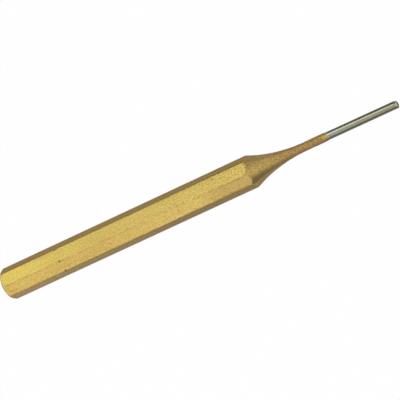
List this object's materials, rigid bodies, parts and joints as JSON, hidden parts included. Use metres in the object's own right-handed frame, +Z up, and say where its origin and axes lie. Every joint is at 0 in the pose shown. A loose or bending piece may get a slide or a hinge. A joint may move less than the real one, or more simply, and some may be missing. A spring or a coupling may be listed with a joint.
{
  "type": "pin punch",
  "caption": "Pin punch of octagonal bar with a chamfered striking head, a hollow turned taper and a bare ground pin that drives pins out of holes. Lacquered gold except for its pin.",
  "frame": {"origin": "middle of the tool's length, straight under its axis, on the surface that the lowest flat of its shank lies on", "axes": "+X along the tool's axis from the striking head towards the pin's tip, +Z up from the flat that it lies on, +Y across the shank"},
  "size_m": [0.15, 0.01, 0.01],
  "materials": {
    "ground_steel": "ground bright, turned lines around the axis",
    "gold_lacquer": "satin gold metallic lacquer with a fine grain"
  },
  "bodies": {
    "root": {"steel_punch": "ground_steel", "lacquer_coat": "gold_lacquer"}
  },
  "joints": []
}
